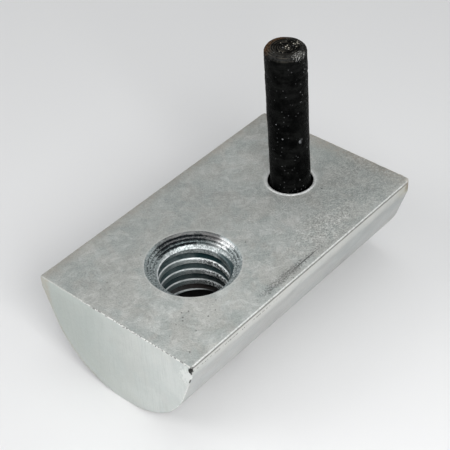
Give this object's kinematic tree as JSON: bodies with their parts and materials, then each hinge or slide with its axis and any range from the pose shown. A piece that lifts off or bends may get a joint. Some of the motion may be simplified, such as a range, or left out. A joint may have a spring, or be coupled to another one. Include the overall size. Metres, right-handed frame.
{
  "type": "t slot nut",
  "caption": "Roll-in T slot nut with a flat clamping face, rounded belly, countersunk M6 threaded hole and an upright flexible rod as a handle.",
  "frame": {"origin": "centre of the flat clamping face", "axes": "+X along the nut from its threaded end to its handle end, +Y across the slot, +Z out of the clamping face"},
  "size_m": [0.0242, 0.014, 0.0192],
  "materials": {
    "zinc_plated_steel": "bright zinc plating, satin, lightly scuffed",
    "black_rubber": "matt black, slightly mottled"
  },
  "bodies": {
    "root": {"nut_body": "zinc_plated_steel", "flex_handle": "black_rubber"}
  },
  "joints": []
}
